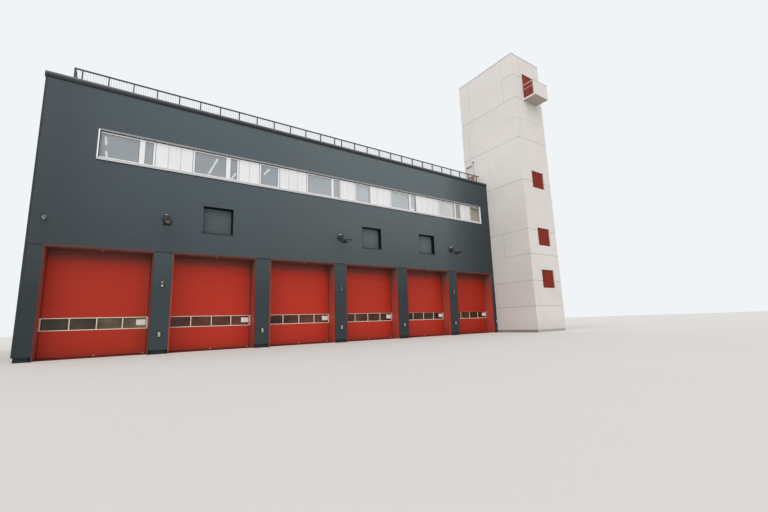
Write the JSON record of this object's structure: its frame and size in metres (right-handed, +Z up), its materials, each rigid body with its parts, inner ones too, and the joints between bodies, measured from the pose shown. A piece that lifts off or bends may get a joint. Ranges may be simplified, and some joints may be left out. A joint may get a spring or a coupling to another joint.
{
  "type": "fire station building",
  "caption": "Fire station with a row of sectional bay doors under a storey with a ribbon of windows, a railed flat roof and a tall square hose tower with a balcony",
  "frame": {"origin": "middle of the hall's footprint, on the ground", "axes": "+X along the front towards the tower, +Y from the front into the building, +Z up"},
  "size_m": [34.21, 25.055, 24.02],
  "materials": {
    "cladding": "matt anthracite blue-grey profiled metal cladding",
    "concrete": "pale smooth concrete panels",
    "slab_concrete": "plain grey concrete",
    "plinth": "dark grey render",
    "coping": "folded sheet, anthracite",
    "tower_coping": "folded sheet, grey",
    "door_red": "satin red",
    "cream_frame": "satin cream",
    "white_frame": "satin white",
    "white_panel": "satin white panel",
    "window_glass": "clear glazing",
    "door_glass": "dark glazing",
    "dark_metal": "matt dark grey",
    "louvre_metal": "matt grey",
    "lamp_lens": "translucent amber",
    "white_box": "white plastic"
  },
  "bodies": {
    "root": {"plinth_front_rear": "plinth", "plinth_sides": "plinth", "floor_slab": "slab_concrete", "door_sills": "slab_concrete", "front_piers": "cladding", "front_wall_over_doors": "cladding", "front_wall_beside_louvres": "cladding", "front_wall_under_windows": "cladding", "front_wall_over_windows": "cladding", "side_walls_lower": "cladding", "side_walls_upper": "cladding", "rear_wall_lower": "cladding", "rear_wall_upper": "cladding", "corner_piers": "cladding", "upper_floor": "slab_concrete", "roof_deck": "slab_concrete", "roof_coping_front_rear": "coping", "roof_coping_sides": "coping", "window_frames": "white_frame", "window_panels": "white_panel", "window_glass": "window_glass", "louvres": "louvre_metal", "door_linings": "door_red", "door_window_frames": "cream_frame", "door_window_glass": "door_glass", "roof_railing_front": "dark_metal", "roof_railing_rear": "dark_metal", "roof_railing_sides": "dark_metal", "tower_front_wall": "concrete", "tower_left_wall": "concrete", "tower_right_wall": "concrete", "tower_rear_wall": "concrete", "tower_base": "plinth", "tower_floors": "slab_concrete", "tower_roof": "slab_concrete", "tower_coping": "tower_coping", "tower_shutters": "door_red", "balcony": "concrete", "balcony_rails": "dark_metal", "balcony_door": "door_red", "roof_door": "door_red", "roof_door_lamps": "dark_metal", "signal_lamps": "dark_metal", "signal_lenses": "lamp_lens", "call_boxes": "white_box", "door_sensors": "dark_metal", "floodlights": "dark_metal", "security_camera": "dark_metal", "bay_door_1": "door_red", "bay_door_2": "door_red", "bay_door_3": "door_red", "bay_door_4": "door_red", "bay_door_5": "door_red", "bay_door_6": "door_red"}
  },
  "joints": []
}
